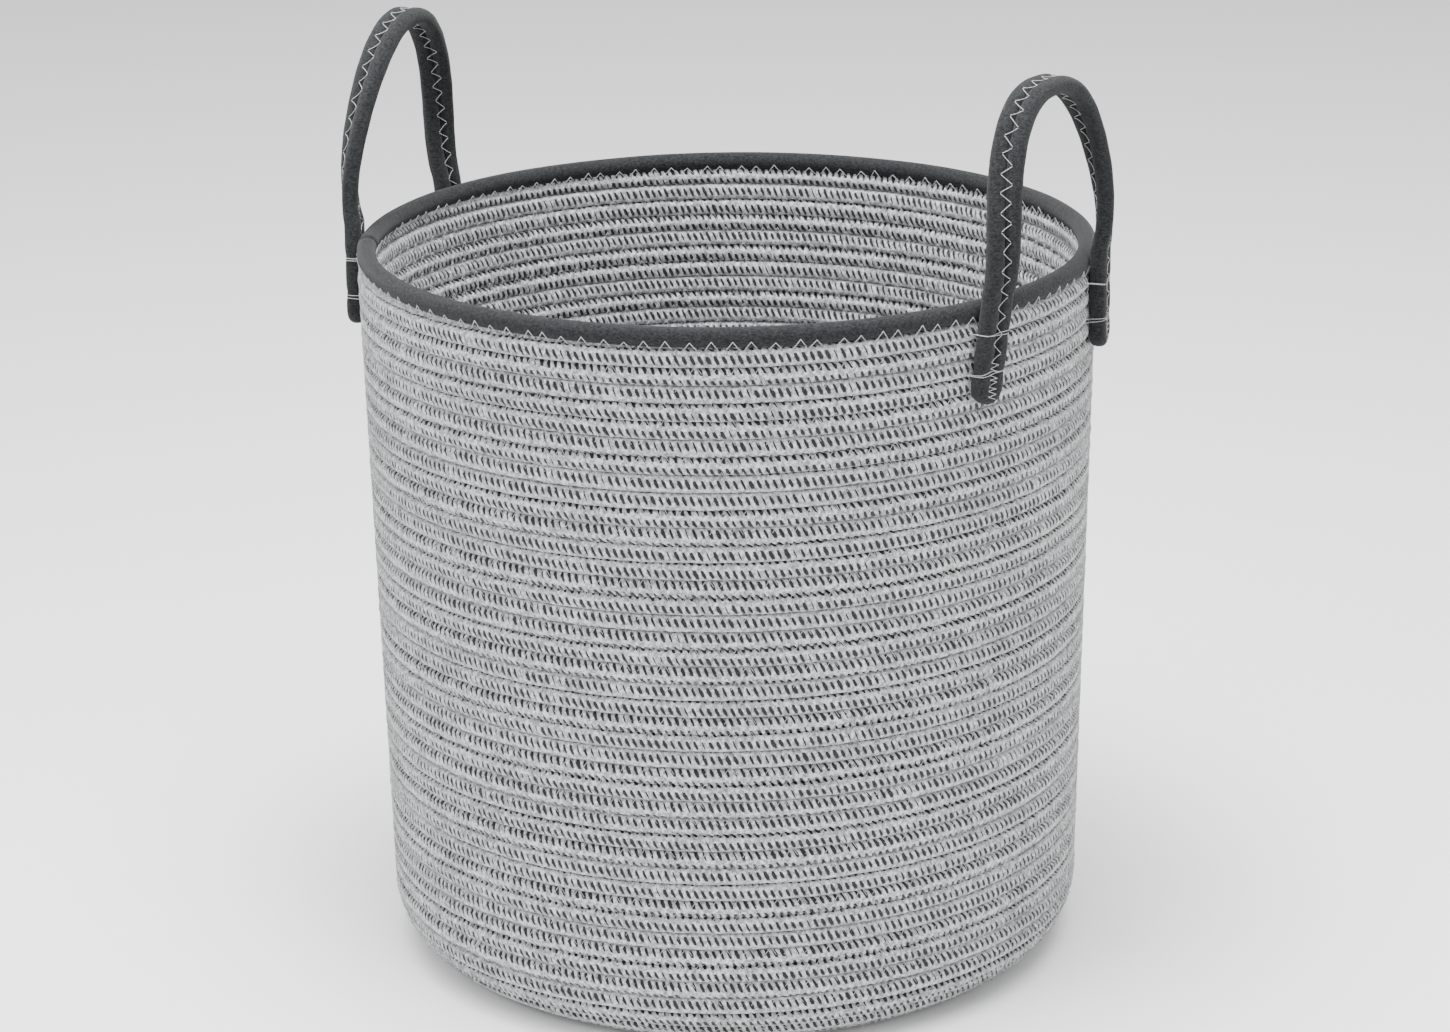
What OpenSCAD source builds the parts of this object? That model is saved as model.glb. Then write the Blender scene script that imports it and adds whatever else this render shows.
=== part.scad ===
// Coiled rope laundry basket: a spiral base and a coiled wall of knitted rope,
// a dark rim cord sewn on top, and two doubled-cord handles sewn outside the wall.
// Millimetres, +Z up, origin at the middle of the underside. The handles stand
// at +X and -X, each sewn a little in front (-Y) of the basket's middle line.

/* [Basket] */
// Outer diameter at the rim
top_d = 380; // [260:5:520]
// Outer diameter just above the rounded bottom edge
bottom_d = 367; // [250:1:505]
// Height of the rim's top above the floor
height = 380; // [220:5:520]
// Outer radius of the rounded bottom edge
corner_r = 34; // [16:1:50]

/* [Rope] */
// Diameter of the knitted wall rope
rope_d = 9.2; // [7:0.1:12]
// How far neighbouring courses are pulled into each other by the seam
course_squeeze = 0.4; // [0.2:0.05:0.8]
// Thickness of the knitted cover around the dark core
cover_t = 1.1; // [0.8:0.1:1.8]
// Gap between a core and the cover around it
core_gap = 0.3; // [0.1:0.05:0.6]
// Depth of the flat that the rope's underside has where it rests
rest_flat = 0.4; // [0.2:0.1:1]

/* [Rim] */
// Diameter of the rim cord
rim_cord_d = 9.8; // [7:0.1:14]
// Thickness of the rim cord's felted sleeve
rim_sleeve_t = 1.2; // [0.8:0.1:2]

/* [Handles] */
// Diameter of each of the two cord runs in a handle
handle_cord_d = 8.6; // [6:0.1:12]
// Gap between the two cord runs
run_gap = 0.2; // [0.1:0.05:0.5]
// Distance between the two legs of a handle, centre to centre, at the rim
handle_span = 108; // [70:1:150]
// Height of the arch's centre line above the rim's top
handle_rise = 97; // [60:1:160]
// How far a sewn end reaches below the rim's top
end_reach = 50; // [34:1:80]
// Angle by which the sewn ends lean apart going down
end_splay = 8; // [0:1:12]
// Angle by which each handle sits in front of the middle line
handle_shift = 5; // [0:1:20]
// Height of the hinge line above the rim's top
hinge_up = 3; // [1:0.5:8]
// Length of cord above the hinge line that bends as the handle folds
bend_len = 25; // [15:1:40]

/* [Sewing] */
// Diameter of the sewing thread
thread_d = 0.7; // [0.4:0.1:1]
// Gap between a sewn-on piece and what it lies against
sew_gap = 0.2; // [0.1:0.05:0.5]
// Upper hand tack, below the rim's top
tack_upper = 15; // [12:1:24]
// Distance from the upper tack to the lower one
tack_step = 19; // [10:1:24]
// How far a tack's thread runs past the cords on each side
tack_over = 1.2; // [0.6:0.1:3]

/* [Hidden] */
$fn = 48;

rope_r = rope_d / 2;
core_r = rope_r - cover_t - core_gap;
rim_r = rim_cord_d / 2;
filler_r = rim_r - rim_sleeve_t - core_gap;
cord_r = handle_cord_d / 2;
thread_r = thread_d / 2;
join_gap = 0.3;        // gap left between two lengths of one cord in different nodes
tube_sides = 10;
thread_sides = 8;
loop_rings = 40;
bend_rings = 6;

// Centre line of the courses: flat base, corner arc, then the leaning wall
base_z = rope_r - rest_flat;
arc_r = corner_r - rope_r;
arc_c = [bottom_d / 2 - corner_r, base_z + arc_r];
rim_c = [top_d / 2 - rim_r, height - rim_r];
top_course = [top_d / 2 - rope_r, height - rim_cord_d - rope_r + course_squeeze];
to_top = top_course - arc_c;
wall_len = sqrt(to_top * to_top - arc_r * arc_r);
lean = atan2(wall_len, arc_r) - atan2(to_top[1], to_top[0]);
arc_len = arc_r * (90 - lean) * PI / 180;
line_len = arc_c[0] + arc_len + wall_len;

// Courses at an even pitch along that line, from the eye in the middle to under the rim
eye_r = rope_r + join_gap;
course_steps = round((line_len - eye_r) / (rope_d - course_squeeze));
pitch = (line_len - eye_r) / course_steps;
function on_arc(a) = arc_c + arc_r * [cos(a), sin(a)];
function on_line(s) =
    s < arc_c[0] ? [s, base_z]
    : s < arc_c[0] + arc_len ? on_arc((s - arc_c[0]) / arc_r * 180 / PI - 90)
    : on_arc(-lean) + (s - arc_c[0] - arc_len) * [sin(lean), cos(lean)];
function course(i) = on_line(eye_r + i * pitch);
base_courses = floor((arc_c[0] + arc_len / 2 - eye_r) / pitch);
base_set = [0:base_courses];
wall_set = [base_courses + 1:course_steps];

// Seam threads sit in the grooves, clear of both courses
thread_off = sqrt(pow(rope_r, 2) - pow(pitch / 2 - thread_r - sew_gap / 2, 2));
function across(d) = [-d[1], d[0]] / norm(d);
function groove(a, b, off) = (a + b) / 2 + off * across(b - a);

// Handles: the legs stand outside the rim, and the hinge line runs along them
run_step = handle_cord_d + run_gap;
hinge_z = height + hinge_up;
leg_r = top_d / 2 + sew_gap + cord_r;
arch_r = leg_r + (hinge_z - top_course[1]) * tan(lean);
half_angle = asin(handle_span / 2 / arch_r);
arch_x = arch_r * cos(half_angle);
function height_turn(z) = asin((z - height) / handle_rise);
turn_hinge = height_turn(hinge_z);
turn_loop = height_turn(hinge_z + bend_len);
turn_gap = height_turn(hinge_z + join_gap) - turn_hinge;

// A bend starts clear of the sewn end below it, whose top is tipped by the splay and the lean
end_tip = (run_step / 2 + cord_r) * sin(end_splay) + cord_r * sin(lean);
turn_start = height_turn(hinge_z + join_gap + end_tip);

// The arch is half an ellipse in the handle's plane, and the pair of cords
// turns a quarter twist from lying on the wall to lying flat over the top
function arch(u) = [arch_x, -handle_span / 2 * cos(u), height + handle_rise * sin(u)];
function unit(v) = v / norm(v);
function along(u) = unit([0, handle_span / 2 * sin(u), handle_rise * cos(u)]);
function twist(u) = half_angle + (90 - half_angle) * sin(u);
function outward(u) = [0, -along(u)[2], along(u)[1]];
function face_dir(u) = cos(twist(u)) * [1, 0, 0] + sin(twist(u)) * outward(u);
function width_dir(u) = sin(twist(u)) * [1, 0, 0] - cos(twist(u)) * outward(u);
function beside(u, w, f) = arch(u) + w * width_dir(u) + f * face_dir(u);

// A closed tube along the arch from turn a to turn b, w beside and f above its centre
module arch_tube(a, b, rings, sides, r, w, f) {
    points = [for (j = [0:rings]) let (u = a + (b - a) * j / rings)
        for (k = [0:sides - 1]) let (q = 360 * k / sides)
            beside(u, w + r * cos(q), f + r * sin(q))];
    sides_faces = [for (j = [0:rings - 1]) for (k = [0:sides - 1])
        let (n = (k + 1) % sides, p = j * sides, t = p + sides)
            each [[p + k, t + n, p + n], [p + k, t + k, t + n]]];
    first = [for (k = [0:sides - 1]) k];
    last = [for (k = [sides - 1:-1:0]) rings * sides + k];
    polyhedron(points, concat([first], sides_faces, [last]), convexity = 6);
}

module at_handle(side) {
    rotate([0, 0, side == "right" ? -handle_shift : 180 + handle_shift]) children();
}

// The front end of the right handle is on its -t leg, and of the left on its +t leg
function leg_sign(side, end) = (side == "right") == (end == "front") ? -1 : 1;

// Places its children at a sewn end: local +X out of the wall, +Z up the leg
module at_end(side, end) {
    sign = leg_sign(side, end);
    at_handle(side) rotate([0, 0, sign * half_angle]) translate([arch_r, 0, hinge_z])
        rotate([sign * end_splay, lean, 0]) children();
}

module ring_set(centres, r, sides = 48) {
    rotate_extrude() for (c = centres) translate(c) circle(r, $fn = sides);
}

// Courses as coaxial rings of rope, flat where they would dip under the floor
module rope_cover(set) {
    rotate_extrude() difference() {
        intersection() {
            for (i = set) translate(course(i)) circle(rope_r);
            square([top_d, height]);
        }
        for (i = set) translate(course(i)) circle(rope_r - cover_t);
    }
}

module rope_core(set) {
    ring_set([for (i = set) course(i)], core_r);
}

// A seam's thread is square in section, as it is pulled flat into the groove
module seam_threads(first, last) {
    ring_set([for (i = [first:last]) for (s = [-1, 1])
        groove(course(i), course(i + 1), s * thread_off)], thread_r, sides = 4);
}

module base_rope_cover() { color("lightgray") rope_cover(base_set); }
module base_rope_core() { color("dimgray") rope_core(base_set); }
module base_stitching() { color("gainsboro") seam_threads(1, base_courses - 1); }
module wall_rope_cover() { color("lightgray") rope_cover(wall_set); }
module wall_rope_core() { color("dimgray") rope_core(wall_set); }
module wall_stitching() { color("gainsboro") seam_threads(base_courses, course_steps - 1); }

module rim_cord_sleeve() {
    color("dimgray") rotate_extrude() translate(rim_c) difference() {
        circle(rim_r);
        circle(rim_r - rim_sleeve_t);
    }
}

module rim_cord_filler() { color("whitesmoke") ring_set([rim_c], filler_r); }

// A thread beside both the top course and the rim cord, clear of each by half the gap
function rim_seam(side) =
    let (d = norm(rim_c - top_course), a = rope_r + thread_r + sew_gap / 2,
         b = rim_r + thread_r + sew_gap / 2, x = (d * d + a * a - b * b) / (2 * d))
    top_course + x * unit(rim_c - top_course)
        + side * sqrt(a * a - x * x) * across(rim_c - top_course);

module rim_stitching() {
    color("gainsboro") ring_set([rim_seam(-1), rim_seam(1)], thread_r, sides = 4);
}

// One cord run of a handle's loop: run is 1 for the inner run and -1 for the outer
module loop_run(side, run) {
    color("dimgray") at_handle(side)
        arch_tube(turn_loop, 180 - turn_loop, loop_rings, tube_sides, cord_r,
                  run * run_step / 2, 0);
}

// Thread along the groove between the runs, on both faces
module loop_stitching(side) {
    lift = cord_r - thread_r;
    color("gainsboro") at_handle(side) for (f = [-1, 1])
        arch_tube(turn_loop, 180 - turn_loop, loop_rings, thread_sides, thread_r, 0, f * lift);
}

module bends(side) {
    color("dimgray") at_handle(side) for (run = [-1, 1]) {
        arch_tube(turn_start, turn_loop - turn_gap, bend_rings, tube_sides,
                  cord_r, run * run_step / 2, 0);
        arch_tube(180 - turn_loop + turn_gap, 180 - turn_start, bend_rings, tube_sides,
                  cord_r, run * run_step / 2, 0);
    }
}

// Straight length of the two runs from the hinge line down to the turn at the bottom
end_len = (hinge_z - height + end_reach) / cos(end_splay) - run_step / 2 - cord_r;

module sewn_end(side, end) {
    color("dimgray") at_end(side, end) {
        for (run = [-1, 1]) translate([0, run * run_step / 2, -end_len])
            cylinder(h = end_len, r = cord_r);
        translate([0, 0, -end_len]) rotate([0, 90, 0]) rotate([0, 0, -90])
            rotate_extrude(angle = 180) translate([run_step / 2, 0]) circle(cord_r);
    }
}

module end_thread(side, end) {
    at_end(side, end) translate([cord_r - thread_r, 0, -end_len]) cylinder(h = end_len, r = thread_r);
}

// A hand tack: a thread over both cord runs, turned down to the wall on each side
module tack(side, end, down) {
    reach = run_step / 2 + cord_r + tack_over;
    at_end(side, end) translate([cord_r + sew_gap + thread_r, 0, -(hinge_up + down)]) {
        rotate([90, 0, 0]) cylinder(h = 2 * reach, r = thread_r, center = true);
        for (s = [-1, 1]) translate([0, s * reach, 0]) {
            sphere(thread_r);
            rotate([0, -90, 0]) cylinder(h = cord_r + sew_gap + thread_r, r = thread_r);
        }
    }
}

module ends_sewing(side) {
    color("gainsboro") for (end = ["front", "rear"]) end_thread(side, end);
}

module tacks(side) {
    color("gainsboro") for (end = ["front", "rear"]) for (down = [tack_upper, tack_upper + tack_step])
        tack(side, end, down);
}

base_rope_cover();
base_rope_core();
base_stitching();
wall_rope_cover();
wall_rope_core();
wall_stitching();
rim_cord_sleeve();
rim_cord_filler();
rim_stitching();
for (side = ["right", "left"]) {
    loop_run(side, 1);
    loop_run(side, -1);
    loop_stitching(side);
    bends(side);
    sewn_end(side, "front");
    sewn_end(side, "rear");
    ends_sewing(side);
    tacks(side);
}
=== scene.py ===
"""Looks of a coiled rope laundry basket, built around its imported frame.

The basket is one long knitted rope, wound as a flat spiral for the base and climbing as a
helix for the wall. A charcoal rim cord is sewn on top, and each handle is one charcoal cord
laid double. All sizes are in metres, +Z is up and the origin is the middle of the underside.
"""

import logging
import math
from dataclasses import dataclass, field
from enum import Enum

import bpy
import numpy as np
from mathutils import Matrix, Vector


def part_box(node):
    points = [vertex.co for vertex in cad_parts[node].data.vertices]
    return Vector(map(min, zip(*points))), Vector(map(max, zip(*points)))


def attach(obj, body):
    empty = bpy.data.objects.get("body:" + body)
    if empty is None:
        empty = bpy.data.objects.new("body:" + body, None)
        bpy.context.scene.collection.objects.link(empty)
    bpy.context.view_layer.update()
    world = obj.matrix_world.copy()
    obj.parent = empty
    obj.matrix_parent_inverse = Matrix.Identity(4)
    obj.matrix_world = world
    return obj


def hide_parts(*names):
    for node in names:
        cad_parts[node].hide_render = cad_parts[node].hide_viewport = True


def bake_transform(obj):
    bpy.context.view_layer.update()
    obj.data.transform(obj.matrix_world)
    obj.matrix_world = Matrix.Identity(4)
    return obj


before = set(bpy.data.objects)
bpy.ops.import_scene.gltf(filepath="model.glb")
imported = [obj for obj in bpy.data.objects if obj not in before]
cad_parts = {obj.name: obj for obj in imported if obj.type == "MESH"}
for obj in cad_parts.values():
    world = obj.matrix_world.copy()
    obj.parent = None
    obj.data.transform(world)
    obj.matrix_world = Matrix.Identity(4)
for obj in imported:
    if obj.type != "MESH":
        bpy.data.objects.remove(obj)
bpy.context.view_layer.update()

MM = 0.001
TURN = 2.0 * math.pi
SEED = 20
SEAM_SEED, RIM_SEED, ZIGZAG_SEED, TACK_SEED = SEED + 1, SEED + 5, SEED + 11, SEED + 31
UP = np.array([0.0, 0.0, 1.0])
BASKET = "basket"

Array = np.ndarray
Material = bpy.types.Material
Object = bpy.types.Object
Socket = bpy.types.NodeSocket
Colour = tuple[float, float, float, float]
Waves = tuple[tuple[float, float, float], ...]
log = logging.getLogger("basket")


# ---- meshes


@dataclass
class Surface:
    """A mesh as plain arrays, before Blender gets it.

    Attributes:
        points: (n, 3) vertex places.
        faces: face arrays, each (m, 3) or (m, 4), wound to face outwards.
        uv: (corners, 2) coordinates in metres that follow the piece, in face order.
        bake: (corners, 2) coordinates in 0..1 that don't overlap, in face order.
        marks: named (n,) vertex values that a material reads.
    """

    points: Array
    faces: list[Array]
    uv: Array | None = None
    bake: Array | None = None
    marks: dict[str, Array] = field(default_factory=dict)

    def to_object(self, name: str, material: Material) -> Object:
        """Makes the Blender object, smooth shaded, with its maps and marks.

        Args:
            name: the piece's name.
            material: its finish.

        Returns:
            The new object, at the origin.
        """
        corners = np.concatenate([f.ravel() for f in self.faces])
        totals = np.concatenate([np.full(len(f), f.shape[1]) for f in self.faces])
        starts = np.concatenate([[0], np.cumsum(totals)[:-1]])
        mesh = bpy.data.meshes.new(name)
        mesh.vertices.add(len(self.points))
        mesh.vertices.foreach_set("co", self.points.astype(np.float32).ravel())
        mesh.loops.add(len(corners))
        mesh.loops.foreach_set("vertex_index", corners.astype(np.int32))
        mesh.polygons.add(len(totals))
        mesh.polygons.foreach_set("loop_start", starts.astype(np.int32))
        mesh.polygons.foreach_set("use_smooth", np.ones(len(totals), bool))
        mesh.update(calc_edges=True)
        for label, values in (("rope", self.uv), ("OFBake", self.bake)):
            if values is not None:
                layer = mesh.uv_layers.new(name=label)
                layer.data.foreach_set("uv", values.astype(np.float32).ravel())
        for label, values in self.marks.items():
            mark = mesh.attributes.new(label, "FLOAT", "POINT")
            mark.data.foreach_set("value", values.astype(np.float32))
        mesh.materials.append(material)
        made = bpy.data.objects.new(name, mesh)
        bpy.context.collection.objects.link(made)
        return made


def normalised(vectors: Array) -> Array:
    """Returns the vectors at unit length, along their last axis."""
    return vectors / np.linalg.norm(vectors, axis=-1, keepdims=True)


def smooth_step(t: Array) -> Array:
    """Returns 3t^2 - 2t^3 with t held between 0 and 1, a soft step."""
    t = np.clip(t, 0.0, 1.0)
    return t * t * (3.0 - 2.0 * t)


def bump(t: Array) -> Array:
    """Returns a soft hump that is 1 at t = 0 and falls to 0 at t = -1 and 1."""
    return smooth_step(1.0 - np.abs(t))


def squared(angle: Array, power: float) -> Array:
    """Returns the radius at an angle of a circle made a little square.

    It is 1 over the power mean of the angle's cosine and sine, so 2 gives a circle.
    """
    return (np.abs(np.cos(angle)) ** power + np.abs(np.sin(angle)) ** power) ** (-1.0 / power)


def lumpy(where: Array, waves: Waves) -> Array:
    """Returns 1 plus the waves, each given as its height, its pace and its phase."""
    return 1.0 + sum(height * np.sin(where * pace + phase) for height, pace, phase in waves)


def swept_tubes(paths: Array, sides_dir: Array, faces_dir: Array, radius: Array | float,
                sides: int, closed: bool = False, power: float = 2.0) -> Surface:
    """Sweeps round tubes along many paths at once.

    A point is the path's point, plus radius times (cos v times the side direction plus
    sin v times the face direction). Open tubes get a flat end at each end.

    Args:
        paths: (count, rings, 3) centre lines.
        sides_dir: the same shape, the section's first axis.
        faces_dir: the same shape, the section's second axis.
        radius: a number, or (count, rings) radii.
        sides: how many sides the section has.
        closed: whether the last ring joins the first.
        power: 2 for a round section, more for one that is squarer.

    Returns:
        The surface, with uv in metres: along the tube, and around it.
    """
    count, rings = paths.shape[:2]
    radii = np.broadcast_to(np.asarray(radius, float), (count, rings))[..., None, None]
    v = np.arange(sides) / sides * TURN
    cos, sin = (f(v) * squared(v, power) for f in (np.cos, np.sin))
    section = cos[:, None] * sides_dir[:, :, None] + sin[:, None] * faces_dir[:, :, None]
    points = paths[:, :, None] + radii * section
    steps = np.linalg.norm(np.diff(paths, axis=1), axis=-1)
    gone = np.concatenate([np.zeros((count, 1)), np.cumsum(steps, axis=1)], axis=1)
    index = np.arange(count * rings * sides).reshape(count, rings, sides)
    spans = rings if closed else rings - 1
    here, there = index[:, :spans], np.roll(index, -1, axis=1)[:, :spans]
    quads = np.stack([here, there, np.roll(there, -1, 2), np.roll(here, -1, 2)], axis=-1)
    around = np.arange(sides + 1) / sides * TURN * float(np.mean(radii))
    along = np.concatenate([gone, gone[:, -1:] + steps[:, :1]], axis=1)[:, :spans + 1]
    sheet = np.stack(np.broadcast_arrays(along[..., None], around), -1)
    uv = np.stack([sheet[:, i:spans + i, j:sides + j]
                   for i, j in ((0, 0), (1, 0), (1, 1), (0, 1))], axis=3)
    faces, maps = [quads.reshape(-1, 4)], [uv.reshape(-1, 2)]
    if not closed:
        k = np.arange(1, sides - 1)
        for ring, second, third in ((index[:, 0], k, k + 1), (index[:, -1], k + 1, k)):
            first = np.broadcast_to(ring[:, :1], (count, len(k)))
            fan = np.stack([first, ring[:, second], ring[:, third]], axis=-1)
            faces.append(fan.reshape(-1, 3))
            maps.append(np.zeros((fan.size, 2)))
    return Surface(points.reshape(-1, 3), faces, np.concatenate(maps))


def merged(parts: list[Surface]) -> Surface:
    """Joins surfaces into one, keeping their faces and their first map."""
    offsets = np.cumsum([0] + [len(p.points) for p in parts[:-1]])
    faces = [f + o for p, o in zip(parts, offsets) for f in p.faces]
    uv = np.concatenate([p.uv for p in parts])
    return Surface(np.concatenate([p.points for p in parts]), faces, uv)


# ---- finishes


class Nodes:
    """A short way to write a material's node tree.

    A Mix node has sockets for each kind of data, so its colour ones are found by number.
    """

    MIX_SHARE, MIX_FIRST, MIX_SECOND, MIX_RESULT = 0, 6, 7, 2

    def __init__(self, name: str) -> None:
        """Starts a material called name with only a Principled shader and its output."""
        self.material = bpy.data.materials.new(name)
        self.material.use_nodes = True
        self.tree = self.material.node_tree
        self.tree.nodes.clear()
        self.shader = self.add("ShaderNodeBsdfPrincipled")
        out = self.add("ShaderNodeOutputMaterial")
        self.tree.links.new(self.shader.outputs["BSDF"], out.inputs["Surface"])

    def add(self, kind: str, **settings: object) -> bpy.types.Node:
        """Adds a node of a kind, with its settings, and returns it."""
        node = self.tree.nodes.new(kind)
        for key, value in settings.items():
            setattr(node, key, value)
        return node

    def put(self, node: bpy.types.Node, **values: object) -> bpy.types.Node:
        """Sets or links a node's inputs by name: underscores stand for spaces."""
        for key, value in values.items():
            self.feed(node.inputs[key.replace("_", " ")], value)
        return node

    def feed(self, socket: Socket, value: object) -> None:
        """Links an output socket to a socket, or sets the socket's own value."""
        if isinstance(value, Socket):
            self.tree.links.new(value, socket)
        else:
            socket.default_value = value

    def object_coordinates(self) -> Socket:
        """Returns the piece's own coordinates, in metres."""
        return self.add("ShaderNodeTexCoord").outputs["Object"]

    def rope_coordinates(self) -> Socket:
        """Returns the map that follows the rope or cord: along it, and around it."""
        return self.add("ShaderNodeUVMap", uv_map="rope").outputs["UV"]

    def moved(self, vector: Socket, scale: tuple[float, float, float],
              turn: float = 0.0) -> Socket:
        """Returns coordinates scaled by scale, then turned about Z by turn."""
        mapping = self.add("ShaderNodeMapping", vector_type="POINT")
        self.put(mapping, Vector=vector, Scale=scale, Rotation=(0.0, 0.0, turn))
        return mapping.outputs["Vector"]

    def noise(self, vector: Socket, scale: float, detail: float = 2.0,
              roughness: float = 0.5) -> Socket:
        """Returns a noise value between 0 and 1."""
        node = self.add("ShaderNodeTexNoise")
        self.put(node, Vector=vector, Scale=scale, Detail=detail, Roughness=roughness)
        return node.outputs["Fac"]

    def ramp(self, value: Socket, low: float, high: float) -> Socket:
        """Returns value spread so that low becomes 0 and high becomes 1."""
        node = self.add("ShaderNodeMapRange", clamp=True)
        self.put(node, Value=value, From_Min=low, From_Max=high)
        return node.outputs["Result"]

    def mixed(self, share: object, first: object, second: object) -> Socket:
        """Returns a colour between first and second, by share."""
        node = self.add("ShaderNodeMix", data_type="RGBA")
        for number, value in ((self.MIX_SHARE, share), (self.MIX_FIRST, first),
                              (self.MIX_SECOND, second)):
            self.feed(node.inputs[number], value)
        return node.outputs[self.MIX_RESULT]

    def maths(self, operation: str, first: object, second: object) -> Socket:
        """Returns first and second combined by a math operation."""
        node = self.add("ShaderNodeMath", operation=operation)
        for socket, value in zip(node.inputs, (first, second)):
            self.feed(socket, value)
        return node.outputs[0]

    def total(self, *terms: tuple[Socket, float]) -> Socket:
        """Returns the sum of the terms' values, each times its share."""
        scaled = [self.maths("MULTIPLY", value, share) for value, share in terms]
        result = scaled[0]
        for term in scaled[1:]:
            result = self.maths("ADD", result, term)
        return result

    def raised(self, height: Socket, depth: float, strength: float,
               under: Socket | None = None) -> Socket:
        """Returns a normal bumped by height, on top of another bump if given."""
        node = self.add("ShaderNodeBump")
        self.put(node, Height=height, Distance=depth, Strength=strength)
        if under is not None:
            self.feed(node.inputs["Normal"], under)
        return node.outputs["Normal"]


def grey(level: float, cool: float = 0.0) -> Colour:
    """Returns a grey of a linear level, a little cooler where cool is above 0."""
    return (level * (1.0 - cool), level, level * (1.0 + cool), 1.0)


@dataclass(frozen=True)
class KnittedSleeve:
    """Light grey knitted sleeve: slanted yarns, with the dark core seen in each opening."""

    light: Colour = grey(0.79, 0.022)
    shade: Colour = grey(0.13, 0.03)
    core: Colour = grey(0.016, 0.06)
    core_light: Colour = grey(0.060, 0.06)
    yarn: float = 1.25 * MM
    yarn_slant: float = math.radians(24)
    patch_scale: float = 22.0
    fluff_scale: float = 470.0
    fibre_scale: float = 1150.0

    def material(self) -> Material:
        """Builds and returns the material."""
        n = Nodes("knitted_rope")
        rope, place = n.rope_coordinates(), n.object_coordinates()
        patches = n.ramp(n.noise(place, self.patch_scale, 3.0), 0.35, 0.7)
        fluff = n.ramp(n.noise(place, self.fluff_scale, 2.0, 0.65), 0.45, 0.60)
        slanted = n.moved(rope, (1.0, 0.5, 1.0), self.yarn_slant)
        yarns = n.noise(slanted, 1.0 / self.yarn, 4.0, 0.75)
        fibres = n.noise(place, self.fibre_scale, 4.0, 0.8)
        grain = n.total((yarns, 0.6), (fibres, 0.4))
        tone = n.total((n.ramp(grain, 0.41, 0.60), 0.44), (patches, 0.12), (fluff, 0.44))
        cover = n.mixed(tone, self.shade, self.light)
        core = n.mixed(n.ramp(fibres, 0.45, 0.7), self.core, self.core_light)
        depth = n.add("ShaderNodeAttribute", attribute_name="depth").outputs["Fac"]
        frayed = n.maths("ADD", depth, n.maths("MULTIPLY", n.maths("SUBTRACT", fibres, 0.5), 0.5))
        colour = n.mixed(n.ramp(frayed, 0.04, 0.36), cover, core)
        n.put(n.shader, Base_Color=colour, Roughness=0.92, Sheen_Weight=0.15, Sheen_Roughness=0.5,
              Specular_IOR_Level=0.2, Normal=n.raised(grain, 1.2 * MM, 1.0))
        return n.material


@dataclass(frozen=True)
class FeltedCord:
    """Charcoal felted cord: heathered dark fibres with a few pale ones, and a soft nap."""

    dark: Colour = grey(0.0065, 0.07)
    light: Colour = grey(0.029, 0.07)
    fleck: Colour = grey(0.085, 0.05)
    wisp_scale: float = 620.0
    nap_scale: float = 1500.0

    def material(self) -> Material:
        """Builds and returns the material."""
        n = Nodes("felted_cord")
        place = n.object_coordinates()
        wisps = n.noise(n.moved(place, (1.0, 1.0, 1.7)), self.wisp_scale, 4.0, 0.7)
        nap = n.noise(place, self.nap_scale, 3.0, 0.75)
        body = n.mixed(n.ramp(wisps, 0.36, 0.66), self.dark, self.light)
        colour = n.mixed(n.ramp(nap, 0.66, 0.80), body, self.fleck)
        normal = n.raised(nap, 0.5 * MM, 0.8, n.raised(wisps, 0.6 * MM, 0.5))
        n.put(n.shader, Base_Color=colour, Roughness=0.95, Sheen_Weight=0.08, Sheen_Roughness=0.5,
              Specular_IOR_Level=0.12, Normal=normal)
        return n.material


@dataclass(frozen=True)
class SewingThread:
    """Light grey two-ply sewing thread, with the twist of its plies."""

    light: Colour = grey(0.50, 0.01)
    shade: Colour = grey(0.25, 0.01)
    ply: float = 0.9 * MM
    hair_scale: float = 3000.0

    def material(self) -> Material:
        """Builds and returns the material."""
        n = Nodes("sewing_thread")
        rope = n.rope_coordinates()
        wave = n.add("ShaderNodeTexWave", wave_type="BANDS", bands_direction="DIAGONAL")
        n.put(wave, Vector=n.moved(rope, (1.0, 1.6, 1.0)), Scale=0.32 / self.ply, Distortion=0.6)
        twist = wave.outputs["Fac"]
        hairs = n.noise(n.object_coordinates(), self.hair_scale)
        tone = n.total((twist, 0.6), (hairs, 0.4))
        n.put(n.shader, Base_Color=n.mixed(tone, self.shade, self.light), Roughness=0.6,
              Sheen_Weight=0.1, Specular_IOR_Level=0.4, Normal=n.raised(twist, 0.2 * MM, 0.6))
        return n.material


@dataclass(frozen=True)
class StudioPaper:
    """Smooth white paper under the basket."""

    tone: Colour = grey(0.93)
    shade: Colour = grey(0.90)
    cloudiness: float = 0.04

    def material(self) -> Material:
        """Builds and returns the material."""
        n = Nodes("studio_paper")
        clouds = n.maths("MULTIPLY", n.noise(n.object_coordinates(), 1.5), self.cloudiness)
        n.put(n.shader, Base_Color=n.mixed(clouds, self.tone, self.shade), Roughness=0.9,
              Specular_IOR_Level=0.1)
        return n.material


@dataclass
class Finishes:
    """The basket's finishes, made once and shared by its pieces."""

    rope: Material = field(default_factory=lambda: KnittedSleeve().material())
    cord: Material = field(default_factory=lambda: FeltedCord().material())
    thread: Material = field(default_factory=lambda: SewingThread().material())


# ---- the coil


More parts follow.
